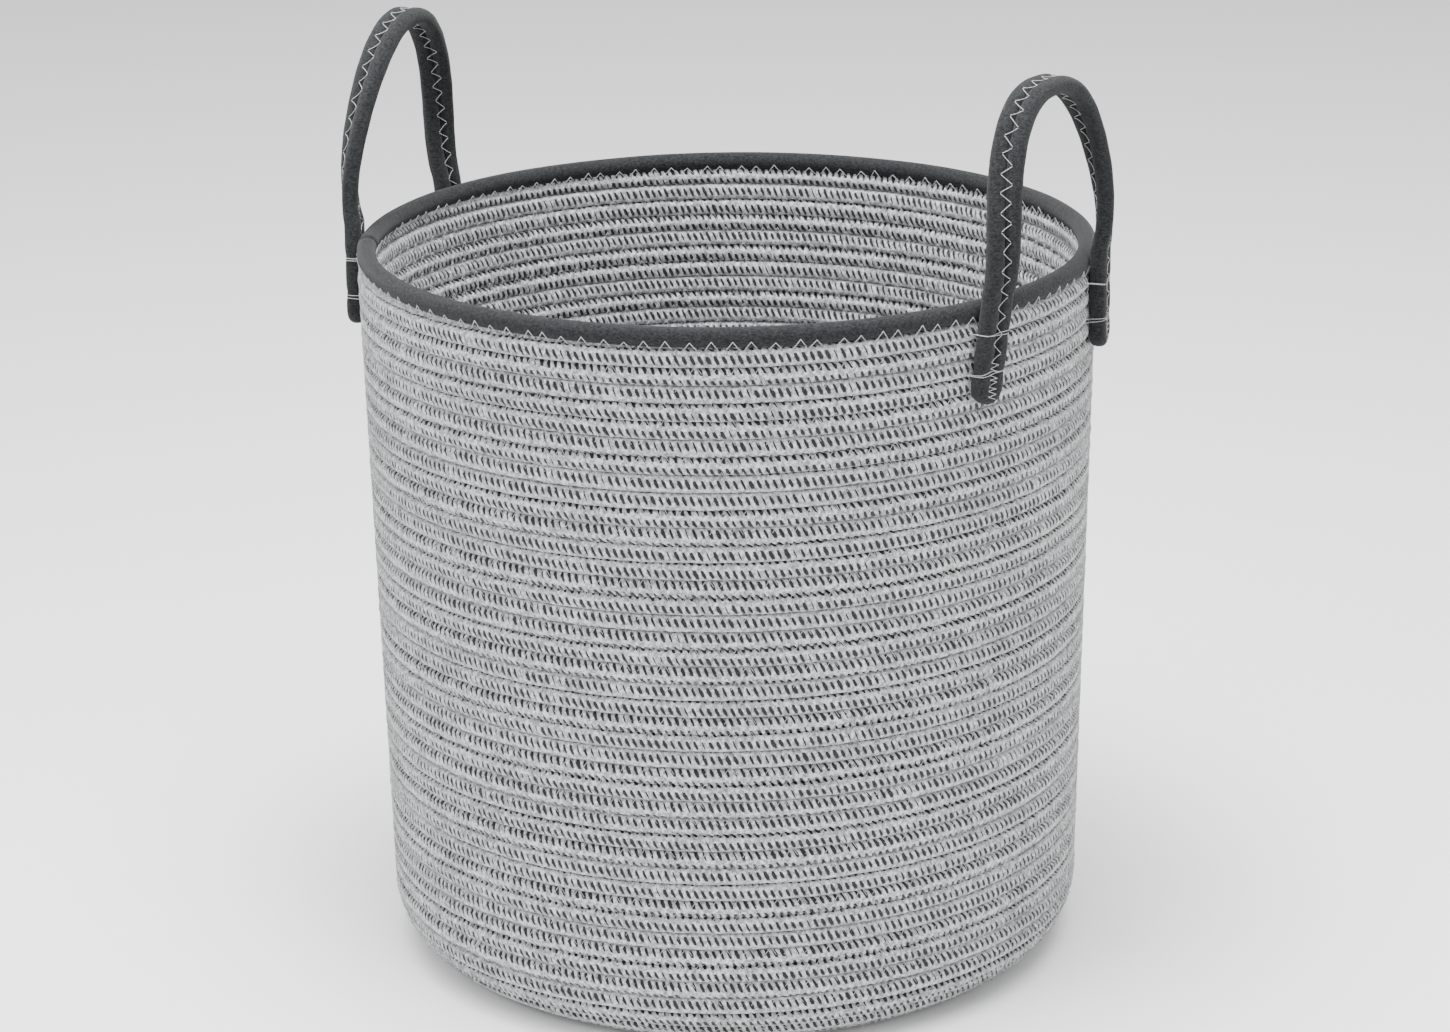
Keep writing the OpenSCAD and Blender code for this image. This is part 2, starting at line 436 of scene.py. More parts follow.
@dataclass
class CourseLine:
    """The line that the courses' centres follow: flat base, rounded edge, leaning wall.

    Distances along it start at the basket's axis. Points are (radius, height).
    """

    top_radius: float
    height: float
    rim_cord: float
    bottom_radius: float = 183.5 * MM
    corner: float = 34.0 * MM
    rope: float = 9.2 * MM
    squeeze: float = 0.4 * MM
    rest_flat: float = 0.4 * MM
    eye: float = 4.9 * MM
    tuck: float = 0.3 * MM
    end_hold: float = 2.2 * MM
    end_fade: float = 1.6 * MM
    end_turns: tuple[float, float] = (0.55, 0.3)

    def __post_init__(self) -> None:
        """Works out the arc, the wall's lean and the even pitch."""
        self.rope_radius = self.rope / 2
        self.base_z = self.rope_radius - self.rest_flat
        self.arc = self.corner - self.rope_radius
        self.arc_centre = np.array([self.bottom_radius - self.corner, self.base_z + self.arc])
        self.top = np.array([self.top_radius - self.rope_radius,
                             self.height - self.rim_cord - self.rope_radius + self.squeeze])
        across, up = self.top - self.arc_centre
        self.wall = math.sqrt(across ** 2 + up ** 2 - self.arc ** 2)
        self.lean = math.atan2(self.wall, self.arc) - math.atan2(up, across)
        self.edge_start = float(self.arc_centre[0])
        self.edge_end = self.edge_start + self.arc * (math.pi / 2 - self.lean)
        self.edge_middle = (self.edge_start + self.edge_end) / 2
        self.length = self.edge_end + self.wall
        steps = round((self.length - self.eye) / (self.rope - self.squeeze))
        self.pitch = (self.length - self.eye) / steps

    def direction(self, s: Array) -> Array:
        """Returns the line's heading at distance s, as an angle above the floor."""
        return np.clip((s - self.edge_start) / self.arc, 0.0, math.pi / 2 - self.lean)

    def centre(self, s: Array) -> Array:
        """Returns (..., 2) radius and height at distance s.

        Base: along the floor. Edge: the arc's centre plus its radius at the heading.
        Wall: straight on from the end of the arc.
        """
        a = self.direction(s)
        arc_r = self.arc_centre[0] + self.arc * np.sin(a)
        arc_z = self.arc_centre[1] - self.arc * np.cos(a)
        on_wall = np.maximum(s - self.edge_end, 0.0)
        r = np.where(s < self.edge_start, s, arc_r + on_wall * math.sin(self.lean))
        z = np.where(s < self.edge_start, self.base_z, arc_z + on_wall * math.cos(self.lean))
        return np.stack([r, z], axis=-1)

    def tucked(self, s: Array, r: Array, z: Array) -> Array:
        """Returns radii held in so that the rope's end climbs unseen inside the rim cord.

        Above the top course's middle, a point is no further from the wall's middle than the
        outline of the top course, or than the outline of the rim cord less a little. Once
        the rope has climbed past the top course, it is held further in.

        Args:
            s: distance along the line.
            r: radii.
            z: heights.

        Returns:
            The radii, held in.
        """
        middle, rim = self.top_radius - self.rim_cord / 2, self.height - self.rim_cord / 2
        course = np.sqrt(np.clip(self.rope_radius ** 2 - (z - self.top[1]) ** 2, 0.0, None))
        cord = np.sqrt(np.clip((self.rim_cord / 2) ** 2 - (z - rim) ** 2, 0.0, None)) - self.tuck
        first, over = self.end_turns
        climbed = smooth_step(((s - self.length) / self.pitch - first) / over)
        held = self.end_hold * climbed * smooth_step((z - self.top[1]) / self.end_fade)
        reach = np.maximum(np.maximum(course, cord) - held, 0.0)
        reach = np.where(z > self.top[1], reach, 1.0)
        return middle + np.clip(r - middle, -reach, reach)

    def place(self, s: Array, turn: Array, out: Array, on: Array) -> Array:
        """Returns points beside the line, swung round the basket's axis.

        Args:
            s: distance along the line.
            turn: angle round the axis.
            out: offset square to the line, away from the inside.
            on: offset along the line.

        Returns:
            (..., 3) points: the centre plus the offsets, turned by the angle.
        """
        a, c = self.direction(s), self.centre(s)
        z = c[..., 1] - out * np.cos(a) + on * np.sin(a)
        r = self.tucked(s, c[..., 0] + out * np.sin(a) + on * np.cos(a), z)
        return np.stack([r * np.cos(turn), r * np.sin(turn), z], axis=-1)


@dataclass
class Coil:
    """The rope's run from the eye of the base to its end inside the rim cord.

    The distance along the course line grows by one pitch each turn round the axis, most of
    it where the rim cord's ends meet: it is the eye's distance plus the pitch times the
    turns t from the level side, less a share of sin(t) for the uneven climb.
    """

    line: CourseLine
    level_side: float = math.radians(27.5)
    unevenness: float = 0.92
    before: float = 0.37
    samples: int = 60000

    def __post_init__(self) -> None:
        """Tabulates the rope's length and distance against its turning angle."""
        turns = round((self.line.length - self.line.eye) / self.line.pitch) + 1
        self.turns = np.linspace(-self.before, turns, self.samples) * TURN + self.level_side
        self.distances = self.distance(self.turns)
        radius = self.line.centre(self.distances)[:, 0]
        mean = (radius[1:] + radius[:-1]) / 2
        self.lengths = np.concatenate([[0.0], np.cumsum(mean * np.diff(self.turns))])
        self.length = float(self.lengths[-1])

    def distance(self, turn: Array) -> Array:
        """Returns the distance along the course line at a turning angle."""
        t = turn - self.level_side
        return self.line.eye + self.line.pitch * (t - self.unevenness * np.sin(t)) / TURN

    def turn_at(self, length: Array) -> Array:
        """Returns the turning angle at a length along the rope."""
        return np.interp(length, self.lengths, self.turns)

    def length_at(self, distance: float) -> float:
        """Returns the rope's length where it is at a distance along the course line."""
        return float(np.interp(distance, self.distances, self.lengths))


class Corner(Enum):
    """The vertices of one opening in the knit, and where each lies in its cell.

    The first two numbers are across and up, as shares of the opening's half size. The third
    is how far the yarn stands proud there, and the last is 1 on the floor of the opening.
    """

    TOP_LEFT = (-0.6, 1.0, 0.0, 0.0)
    TOP_RIGHT = (0.6, 1.0, -0.3, 0.0)
    MID_LEFT = (-1.0, 0.1, 1.0, 0.0)
    MID_RIGHT = (1.0, -0.1, 1.0, 0.0)
    LOW_LEFT = (-0.6, -1.0, -0.3, 0.0)
    LOW_RIGHT = (0.6, -1.0, 0.0, 0.0)
    FLOOR_TOP = (0.1, 0.45, 0.0, 1.0)
    FLOOR_LOW = (-0.1, -0.45, 0.0, 1.0)


@dataclass
class KnittedRope:
    """The knitted rope: four rows of slanted openings around it, one each stitch along it.

    A cell's place along the rope is its number less the slant times its row, so that the
    openings lean, and round the rope the rows close three cells on.
    """

    coil: Coil
    finish: Material
    rows: int = 4
    lean_cells: int = 3
    stitch: float = 3.7 * MM
    opening: tuple[float, float] = (1.28 * MM, 2.6 * MM)
    opening_depth: float = 1.2 * MM
    stray: float = 0.13
    thin_share: float = 0.06
    thin_width: float = 0.45
    tall_stray: float = 0.7
    up_stray: float = 0.5 * MM
    along_stray: float = 0.25
    twist: tuple[float, float] = (0.50, 0.24)
    twist_lengths: tuple[float, float] = (3.1, 1.13)
    lumps: Waves = ((0.012, 310.0, 0.0), (0.008, 127.0, 2.0))
    end_round: float = 2.2
    end_least: float = 0.02
    squareness: float = 2.9
    proud: float = 0.22 * MM
    rough: float = 0.09 * MM
    flat_floor: float = 0.0
    sheet_room: float = 1.08
    cell_limit: int = 11500

    def cells(self, first: int, last: int) -> dict[str, Array]:
        """Works out the vertices of a run of cells.

        The rope's section is a circle made a little square, as its courses press together.

        Args:
            first: the first cell.
            last: the last cell.

        Returns:
            points (cells, rows, 8, 3), the map (cells, rows, 8, 2) and depth marks.
        """
        count = int(self.coil.length / self.stitch) + 8
        rng = np.random.default_rng(SEED)
        spread = rng.normal(0.0, self.stray, (count, self.rows, 4))
        thin = rng.random((count, self.rows)) < self.thin_share
        bumps = rng.normal(0.0, self.rough, (count, self.rows, len(Corner)))
        pick = np.clip(np.arange(first, last + 1), 0, count - 1)
        spread, thin, bumps = spread[pick], thin[pick], bumps[pick]
        shape = np.array([c.value for c in Corner])
        wide = self.opening[0] * (1.0 + spread[..., 0]) * np.where(thin, self.thin_width, 1.0)
        tall = self.opening[1] * (1.0 + self.tall_stray * spread[..., 1])
        across = shape[:, 0] * wide[..., None]
        up = shape[:, 1] * tall[..., None] + self.up_stray * spread[..., 2:3]
        radius = self.coil.line.rope_radius
        pace = TURN * radius / self.rows
        slant = self.lean_cells / self.rows
        row = np.arange(self.rows)[:, None] + up / pace
        along = (np.arange(first, last + 1)[:, None, None] - slant * row) * self.stitch
        along = along + across + self.along_stray * self.stitch * self.stray * spread[..., 3:4]
        along = np.clip(along, 0.0, self.coil.length)
        bottom = np.broadcast_to(shape[:, 3], along.shape)
        turn = self.coil.turn_at(along)
        roll = sum(most * np.sin(TURN * along / length + i) for i, (most, length)
                   in enumerate(zip(self.twist, self.twist_lengths)))
        round_angle = row / self.rows * TURN + roll
        end = np.minimum(along, self.coil.length - along)
        rounded = np.sqrt(smooth_step(end / (self.end_round * radius) + self.end_least))
        swell = radius * lumpy(along, self.lumps) * rounded
        swell = swell * squared(round_angle, self.squareness)
        swell = swell + bumps - self.rough + self.proud * shape[:, 2] - self.opening_depth * bottom
        points = self.coil.line.place(self.coil.distance(turn), turn,
                                      swell * np.cos(round_angle), swell * np.sin(round_angle))
        points[..., 2] = np.maximum(points[..., 2], self.flat_floor)
        return {"points": points, "uv": np.stack([along, row * pace], -1), "depth": bottom}

    def band(self, first: int, last: int) -> Surface:
        """Builds the rope from cell first up to cell last.

        Each cell has its opening's walls, the bar to the next opening and the band up to
        the next row; the last row joins the first, three cells back.

        Args:
            first: the first cell.
            last: the cell after the last.

        Returns:
            The surface, with its maps and its depth mark.
        """
        back = self.lean_cells
        made = self.cells(first - back, last)
        number = np.arange(made["depth"].size).reshape(made["depth"].shape)
        here, nxt = number[back:-1], number[back + 1:]
        upper = np.concatenate([here[:, 1:], number[:-1 - back, :1]], axis=1)
        upper_nxt = np.concatenate([nxt[:, 1:], number[1:-back, :1]], axis=1)
        tl, tr, ml, mr, bl, br, ft, fb = range(len(Corner))
        quads = [
            (here[..., br], nxt[..., bl], nxt[..., ml], here[..., mr]),
            (here[..., mr], nxt[..., ml], nxt[..., tl], here[..., tr]),
            (here[..., tl], here[..., tr], upper[..., br], upper[..., bl]),
            (here[..., tr], nxt[..., tl], upper_nxt[..., bl], upper[..., br]),
        ]
        walls = [(bl, br, fb), (br, mr, fb), (mr, ft, fb), (mr, tr, ft),
                 (tr, tl, ft), (tl, ml, ft), (ml, fb, ft), (ml, bl, fb)]
        quad = np.stack([np.stack(q, -1) for q in quads], axis=2)
        wall = np.stack([here[..., list(w)] for w in walls], axis=2)
        quad_uv, wall_uv = (made["uv"].reshape(-1, 2)[f] for f in (quad, wall))
        quad_uv[:, -1, 2:, 2:, 1] += TURN * self.coil.line.rope_radius
        uv = np.concatenate([m.reshape(-1, 2) for m in (quad_uv, wall_uv)])
        bake = np.concatenate([self.sheet(m, first, last).reshape(-1, 2)
                               for m in (quad_uv, wall_uv)])
        faces = [quad.reshape(-1, 4), wall.reshape(-1, 3)]
        used, renamed = np.unique(np.concatenate([f.ravel() for f in faces]), return_inverse=True)
        split = faces[0].size
        faces = [renamed[:split].reshape(-1, 4), renamed[split:].reshape(-1, 3)]
        return Surface(made["points"].reshape(-1, 3)[used], faces, uv, bake,
                       {"depth": made["depth"].ravel()[used]})

    def sheet(self, uv: Array, first: int, last: int) -> Array:
        """Lays the rope's map out in rows that fill a square without overlapping.

        Args:
            uv: (cells, rows, faces, corners, 2) map in metres.
            first: the band's first cell.
            last: the cell after its last.

        Returns:
            The same shape, in 0..1.
        """
        around = TURN * self.coil.line.rope_radius
        girth = self.sheet_room * around
        lines = max(1, round(math.sqrt((last - first) * self.stitch / girth)))
        per_line = math.ceil((last - first) / lines)
        line = (np.arange(last - first) // per_line).reshape(-1, 1, 1, 1)
        origin = (first + line * per_line - self.lean_cells - 1) * self.stitch
        width = (per_line + self.lean_cells + 2) * self.stitch
        u = (uv[..., 0] - origin) / width
        low = around / 2 / self.rows
        v = (line + (uv[..., 1] + low) / girth) / lines
        return np.stack([u, v], axis=-1)

    def pieces(self, name: str, from_length: float, to_length: float) -> list[Object]:
        """Builds a stretch of the rope as bands under the cell limit.

        Args:
            name: the stretch's name, which each band carries with its number.
            from_length: where the stretch starts, along the rope.
            to_length: where it ends.

        Returns:
            The bands.
        """
        first, last = round(from_length / self.stitch), round(to_length / self.stitch)
        bands = math.ceil((last - first) / (self.cell_limit / self.rows))
        edges = np.linspace(first, last, bands + 1).round().astype(int)
        return [self.band(int(a), int(b)).to_object(f"{name}_{i + 1}", self.finish)
                for i, (a, b) in enumerate(zip(edges[:-1], edges[1:]))]


@dataclass
class SeamStitches:
    """The zigzag thread that joins each course to the next, on both faces of the rope work.

    Each stitch is a straight stroke over the groove, up and then down, and then a gap.
    """

    coil: Coil
    finish: Material
    repeat: float = 10.0 * MM
    stroke: float = 2.8 * MM
    reach: float = 2.3 * MM
    thread: float = 0.17 * MM
    stray: float = 0.5 * MM
    skin: float = 0.905

    def surface(self, from_distance: float, to_distance: float, face: float) -> Surface:
        """Builds the strokes on one face.

        Args:
            from_distance: where the first seam lies on the course line.
            to_distance: where the last one lies.
            face: 1 for the outer face and -1 for the inner.

        Returns:
            The strokes' surface.
        """
        line = self.coil.line
        low, high = self.coil.length_at(from_distance), self.coil.length_at(to_distance)
        start = np.arange(low, high, self.repeat)
        rng = np.random.default_rng(SEAM_SEED + int(face > 0))
        start = start + rng.normal(0.0, self.stray, start.shape)
        level = line.rope_radius * self.skin + self.thread
        paths = []
        for number, rising in enumerate((1.0, -1.0)):
            along = start[:, None] + self.stroke * (number + np.array([0.0, 1.0]))
            turn = self.coil.turn_at(along)
            up = line.pitch / 2 + self.reach * rising * np.array([-1.0, 1.0])
            out = np.full(along.shape, level * face)
            paths.append(line.place(self.coil.distance(turn), turn, out,
                                    np.broadcast_to(up, along.shape)))
        path = np.concatenate(paths)
        heading = normalised(np.broadcast_to(path[:, 1:] - path[:, :1], path.shape))
        turn = np.arctan2(path[..., 1], path[..., 0])
        radial = np.stack([np.cos(turn), np.sin(turn), np.zeros(turn.shape)], -1)
        side = normalised(np.cross(heading, radial + 0.02 * UP))
        return swept_tubes(path, side, np.cross(side, heading), self.thread, 3)


# ---- rim


@dataclass
class RimCord:
    """The charcoal cord on top of the wall, one turn with its two ends butted together."""

    line: CourseLine
    finishes: Finishes
    join_angle: float = math.radians(207.5)
    rings: int = 420
    sides: int = 24
    waver: float = 0.12 * MM
    butt: float = 0.35 * MM
    end_round: float = 0.55
    end_least: float = 0.02
    end_swell: float = 0.05
    swell_reach: float = 9.0 * MM
    repeat: float = 10.0 * MM
    half: float = 3.3 * MM
    uneven: float = 0.12
    foot_angle: float = -0.86
    peak_angles: tuple[float, float] = (-0.27, -0.42)
    peak_stray: float = 0.10
    foot_drop: float = 1.9 * MM
    foot_sink: float = 1.1 * MM
    foot_flare: float = 0.4 * MM
    proud: float = 0.30 * MM
    thread: float = 0.2 * MM

    def cord(self) -> Surface:
        """Builds the cord: a round section carried round a circle, with rounded ends."""
        radius = self.line.rim_cord / 2
        run = np.linspace(0.0, 1.0, self.rings)
        ring_radius = self.line.top_radius - radius
        inset = self.butt / ring_radius
        angle = self.join_angle + inset + run * (TURN - 2 * inset)
        drift = self.waver * (np.sin(9 * angle + 1.0) + 0.6 * np.sin(23 * angle))
        height = self.line.height - radius + self.waver * np.sin(7 * angle)
        height = np.minimum(height, self.line.height - radius)
        out = np.stack([np.cos(angle), np.sin(angle), np.zeros(self.rings)], -1)
        path = out * (ring_radius + drift)[:, None] + UP * height[:, None]
        near = np.minimum(run, 1 - run) * TURN * ring_radius
        size = radius * np.sqrt(np.clip(near / (self.end_round * radius), self.end_least, 1.0))
        size = size * (1.0 + self.end_swell * bump(near / self.swell_reach))
        up = np.broadcast_to(UP, path.shape)
        return swept_tubes(path[None], -out[None], up[None], size[None], self.sides)

    def zigzag(self, face: float) -> Surface:
        """Builds the thread that peaks on the cord and dips into the top course.

        Each stitch rises from the rope to the cord's flank and comes down again, and its
        ends sink into the rope.

        Args:
            face: 1 for the outer face and -1 for the inner.

        Returns:
            The stitches' surface.
        """
        radius = self.line.rim_cord / 2
        ring = self.line.top_radius - radius
        count = int(TURN * ring / self.repeat)
        rng = np.random.default_rng(RIM_SEED + int(face > 0))
        middle = (np.arange(count) + self.uneven * rng.standard_normal(count)) / count * TURN
        share = np.array([-1.0, -0.94, -0.5, -0.06, 0.0, 0.06, 0.5, 0.94, 1.0])
        rise = 1.0 - np.abs(share)
        low, peak = self.foot_angle, self.peak_angles[0 if face > 0 else 1]
        high = peak + self.peak_stray * rng.standard_normal(count)[:, None]
        flank = np.cos(low) + (np.cos(high) - np.cos(low)) * rise
        cord_z = self.line.height - radius
        foot_z = cord_z + radius * math.sin(low) - self.foot_drop
        level = foot_z + (cord_z + radius * np.sin(high) - foot_z) * rise
        sunk = self.foot_flare * (1 - rise) - np.where(rise == 0.0, self.foot_sink, 0.0)
        r = ring + face * (radius * flank + self.proud + sunk)
        angle = middle[:, None] + share * self.half / (ring + face * radius)
        path = np.stack([r * np.cos(angle), r * np.sin(angle), level], -1)
        return thread_along(path, self.thread, 5)


def thread_along(path: Array, radius: float, sides: int) -> Surface:
    """Sweeps thread along many open paths, with sections square to each path.

    Args:
        path: (count, rings, 3) centre lines.
        radius: the thread's radius.
        sides: how many sides the section has.

    Returns:
        The threads' surface.
    """
    heading = normalised(np.gradient(path, axis=1))
    unaligned = np.array([0.31, 0.17, 0.93])
    side = normalised(np.cross(heading, unaligned))
    return swept_tubes(path, side, np.cross(side, heading), radius, sides)


# ---- handles


class Side(Enum):
    """Which side of the basket a handle is on."""

    RIGHT = "right"
    LEFT = "left"


@dataclass
class Handle:
    """One handle: a charcoal cord laid double, up from one sewn end and down to the other.

    The pair of runs lies flat on the wall at its ends and turns a quarter twist to lie flat
    over the top of the arch. In the handle's own axes x is away from the basket, y is along
    the rim and z is up.
    """

    side: Side
    line: CourseLine
    finishes: Finishes
    cord: float = 8.6 * MM
    run_gap: float = 0.2 * MM
    span: float = 108.0 * MM
    rise: float = 97.0 * MM
    end_reach: float = 50.0 * MM
    splay: float = math.radians(8.0)
    shift: float = math.radians(5.0)
    hinge_up: float = 3.0 * MM
    bend: float = 25.0 * MM
    sew_gap: float = 0.2 * MM
    bow: float = 2.5 * MM
    fullness: float = 2.0
    apex_along: float = 0.0
    apex_in: float = 0.0
    tacks: tuple[float, float] = (15.0 * MM, 34.0 * MM)
    squareness: float = 2.6
    lumps: Waves = ((0.012, 0.7, 0.0), (0.010, 0.23, 1.0))
    pinch: float = 0.10
    pinch_reach: float = 4.5 * MM
    stitch_step: float = 4.5 * MM
    stitch_half: float = 2.9 * MM
    lock: float = 13.0 * MM
    lock_past: float = 5.5 * MM
    lock_step: float = 1.4 * MM
    lock_gap: float = 1.0 * MM
    stitch_stray: float = 0.3 * MM
    half_stray: float = 0.12
    thread: float = 0.17 * MM
    ply_gap: float = 0.9 * MM
    rings: int = 190
    sides: int = 24

    def __post_init__(self) -> None:
        """Works out where the legs and the hinge line are."""
        self.radius = self.cord / 2
        self.step = self.cord + self.run_gap
        self.aside = self.step / 2 - self.run_gap
        self.hinge = self.line.height + self.hinge_up
        leg = self.line.top_radius + self.sew_gap + self.radius
        self.leg_radius = leg + (self.hinge - self.line.top[1]) * math.tan(self.line.lean)
        self.half = math.asin(self.span / 2 / self.leg_radius)
        self.plane = self.leg_radius * math.cos(self.half)
        self.end_length = (self.hinge_up + self.end_reach) / math.cos(self.splay)
        self.end_length -= self.step / 2 + self.radius

    def arch(self, u: Array) -> dict[str, Array]:
        """Works out the pair's centre line and directions over the arch.

        The line is half a superellipse: y is minus half the span times cos u, z is the rim
        plus the rise times sin u, each with its sine or cosine raised to 2 over the
        fullness. The facing turns from out of the wall to up.

        Args:
            u: angle along the arch, from 0 at the front leg to pi at the rear one.

        Returns:
            centre, facing and width directions, each (n, 3).
        """
        power = 2.0 / self.fullness
        lift = np.sin(u) ** power
        aside = np.sign(np.cos(u)) * np.abs(np.cos(u)) ** power
        low = self.hinge_up / self.rise
        share = np.clip((lift - low) / (1 - low), 0.0, 1.0)
        bowed = self.bow * np.sin(np.pi * np.sqrt(share)) ** 2 - self.apex_in * share ** 2
        centre = np.stack([self.plane + bowed,
                           -self.span / 2 * aside + self.apex_along * share ** 2,
                           self.line.height + self.rise * lift], -1)
        along = normalised(np.gradient(centre, axis=0) * np.array([0.0, 1.0, 1.0]))
        off = np.stack([np.zeros_like(u), -along[:, 2], along[:, 1]], -1)
        twist = self.half + (math.pi / 2 - self.half) * share
        c, s, x = np.cos(twist)[:, None], np.sin(twist)[:, None], np.array([1.0, 0.0, 0.0])
        return {"centre": centre, "facing": c * x + s * off, "width": s * x - c * off}

    def foot(self, sign: float, down: Array) -> dict[str, Array]:
        """Works out the pair's centre line down one sewn end.

        Args:
            sign: -1 for the end at -y and 1 for the other.
            down: distance below the hinge line, along the end.

        Returns:
            centre, facing and width directions, each (n, 3).
        """
        a = sign * self.half
        out = np.array([math.cos(a), math.sin(a), 0.0])
        beside = np.array([-math.sin(a), math.cos(a), 0.0])
        lean, splay = self.line.lean, -sign * self.splay
        facing = math.cos(lean) * out - math.sin(lean) * UP
        upright = math.sin(lean) * out + math.cos(lean) * UP
        leg = math.cos(splay) * upright + math.sin(splay) * beside
        width = -sign * (math.cos(splay) * beside - math.sin(splay) * upright)
        top = np.array([out[0] * self.leg_radius, out[1] * self.leg_radius, self.hinge])
        ones = np.ones((len(down), 1))
        return {"centre": top - down[:, None] * leg, "facing": facing * ones,
                "width": width * ones, "leg": leg * ones}

    def strap(self, rings: int) -> dict[str, Array]:
        """Joins the front end, the arch and the rear end into one run.

        Args:
            rings: how many places to work out.

        Returns:
            centre, facing, width and gone (length along the run), evenly spaced.
        """
        low = math.asin((self.hinge_up / self.rise) ** (self.fullness / 2.0))
        fine = np.linspace(low, math.pi - low, 600)
        down = np.linspace(0.0, self.end_length, 60)[1:]
        front, over, rear = self.foot(-1.0, down[::-1]), self.arch(fine), self.foot(1.0, down)
        joined = {k: np.concatenate([front[k], over[k], rear[k]])
                  for k in ("centre", "facing", "width")}
        steps = np.linalg.norm(np.diff(joined["centre"], axis=0), axis=1)
        gone = np.concatenate([[0.0], np.cumsum(steps)])
        even = np.linspace(0.0, gone[-1], rings)
        made = {k: np.stack([np.interp(even, gone, v[:, i]) for i in range(3)], -1)
                for k, v in joined.items()}
        made["facing"] = normalised(made["facing"])
        made["width"] = normalised(made["width"])
        made["gone"] = even
        return made

    def squeeze(self, gone: Array, total: float) -> Array:
        """Returns how much the cords are pinched by the tacks, as a share of their radius."""
        ends = np.minimum(gone, total - gone)
        pinch = np.zeros_like(gone)
        for tack in self.tacks:
            place = self.end_length - (tack + self.hinge_up)
            pinch = pinch + self.pinch * bump((ends - place) / self.pinch_reach)
        return 1.0 - pinch

    def cords(self) -> Surface:
        """Builds the cord as one closed loop: up, over and down, round the end, and back."""
        s = self.strap(self.rings)
        total = s["gone"][-1]
        turn = np.linspace(0.0, math.pi, 12)[1:-1, None]
        parts, sides, faces = [], [], []
        for run, index in ((1.0, slice(None)), (-1.0, slice(None, None, -1))):
            centre, width, facing = (s[k][index] for k in ("centre", "width", "facing"))
            parts.append(centre + run * width * self.aside)
            sides.append(run * width)
            faces.append(facing)
            away = normalised(centre[-1] - centre[-2])
            curl = np.cos(turn) * run * width[-1] + np.sin(turn) * away
            parts.append(centre[-1] + curl * self.aside)
            sides.append(curl)
            faces.append(np.broadcast_to(facing[-1], curl.shape))
        pinch = self.squeeze(s["gone"], total)
        ends = np.ones(len(turn))
        radii = self.radius * np.concatenate([pinch, ends, pinch[::-1], ends])
        radii = radii * lumpy(np.arange(len(radii)), self.lumps)
        return swept_tubes(np.concatenate(parts)[None], np.concatenate(sides)[None],
                           np.concatenate(faces)[None], radii[None], self.sides, closed=True,
                           power=self.squareness)

    def skin(self, offset: Array) -> Array:
        """Returns how far a cord's skin stands over its middle, at an offset across it.

        It is the radius times one less the offset's share of it, as on a superellipse.
        """
        share = np.clip(np.abs(offset) / self.radius, 0.0, 1.0)
        return self.radius * (1.0 - share ** self.squareness) ** (1.0 / self.squareness)

    def zigzag(self, face: float) -> Surface:
        """Builds the zigzag thread over the groove between the two runs.

        The stitches cross from run to run; at each end they crowd together to lock, down
        onto the cord's turn.

        Args:
            face: 1 for the outer face and -1 for the inner.

        Returns:
            The stitches' surface.
        """
        s = self.strap(1200)
        total, centre = s["gone"][-1], s["centre"]
        rng = np.random.default_rng(ZIGZAG_SEED + int(face > 0) + 2 * (self.side is Side.LEFT))
        crowd = np.arange(-self.lock_past, self.lock - self.lock_gap, self.lock_step)
        even = np.arange(self.lock, total - self.lock, self.stitch_step)
        marks = np.concatenate([crowd, even, total - crowd[::-1]])
        marks = marks + self.stitch_stray * rng.standard_normal(len(marks))
        reach = self.stitch_half * (1.0 + self.half_stray * rng.standard_normal(len(marks)))
        swing = np.where(np.arange(len(marks)) % 2 == 0, 1.0, -1.0) * reach
        share = np.array([0.03, 0.08, 0.3, 0.5, 0.7, 0.92, 0.97])
        where = marks[:-1, None] + np.diff(marks)[:, None] * share
        w = swing[:-1, None] + np.diff(swing)[:, None] * share
        past = np.maximum(np.maximum(-where, where - total), 0.0)
        level = self.skin(np.hypot(w, past) - self.aside) * self.squeeze(where, total)
        sink = np.where((share < 0.05) | (share > 0.95), 0.7 * MM, 0.0)
        level = face * (np.maximum(level, 0.86 * self.radius) + 0.12 * MM - sink)
        path = sum(np.stack([np.interp(where, s["gone"], s[k][:, i]) for i in range(3)], -1)
                   * f[..., None] for k, f in (("centre", np.ones_like(where)),
                                               ("width", w), ("facing", level)))
        for gone, way in ((np.minimum(where, 0.0), centre[1] - centre[0]),
                          (np.maximum(where - total, 0.0), centre[-1] - centre[-2])):
            path = path + gone[..., None] * normalised(way)
        return thread_along(path, self.thread, 5)

